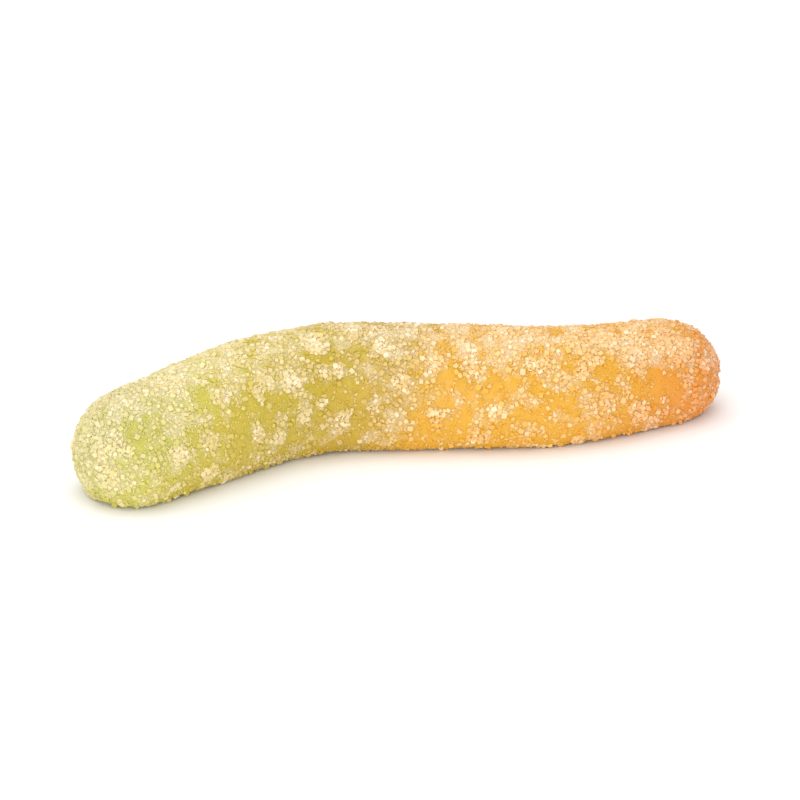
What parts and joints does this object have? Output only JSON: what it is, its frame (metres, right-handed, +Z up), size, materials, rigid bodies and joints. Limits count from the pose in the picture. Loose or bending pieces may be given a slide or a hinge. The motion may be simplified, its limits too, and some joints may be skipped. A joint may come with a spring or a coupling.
{
  "type": "gummy worm",
  "caption": "Sugar-coated jelly worm, green blending into yellow, domed above and flat below, lying in a lazy S bend.",
  "frame": {"origin": "on the ground, under the middle of the worm's bounding box", "axes": "+X from the green end towards the yellow end, +Z up, +Y away from the long side that faces the picture's viewer"},
  "size_m": [0.0614, 0.0318, 0.0117],
  "materials": {
    "sugared_jelly": "translucent fruit jelly, pale green melting into golden yellow, frosted by a coat of fine sugar",
    "sugar": "granulated sugar crystals, cream white, small glossy facets"
  },
  "bodies": {
    "root": {"gummy_worm": "sugared_jelly"}
  },
  "joints": []
}
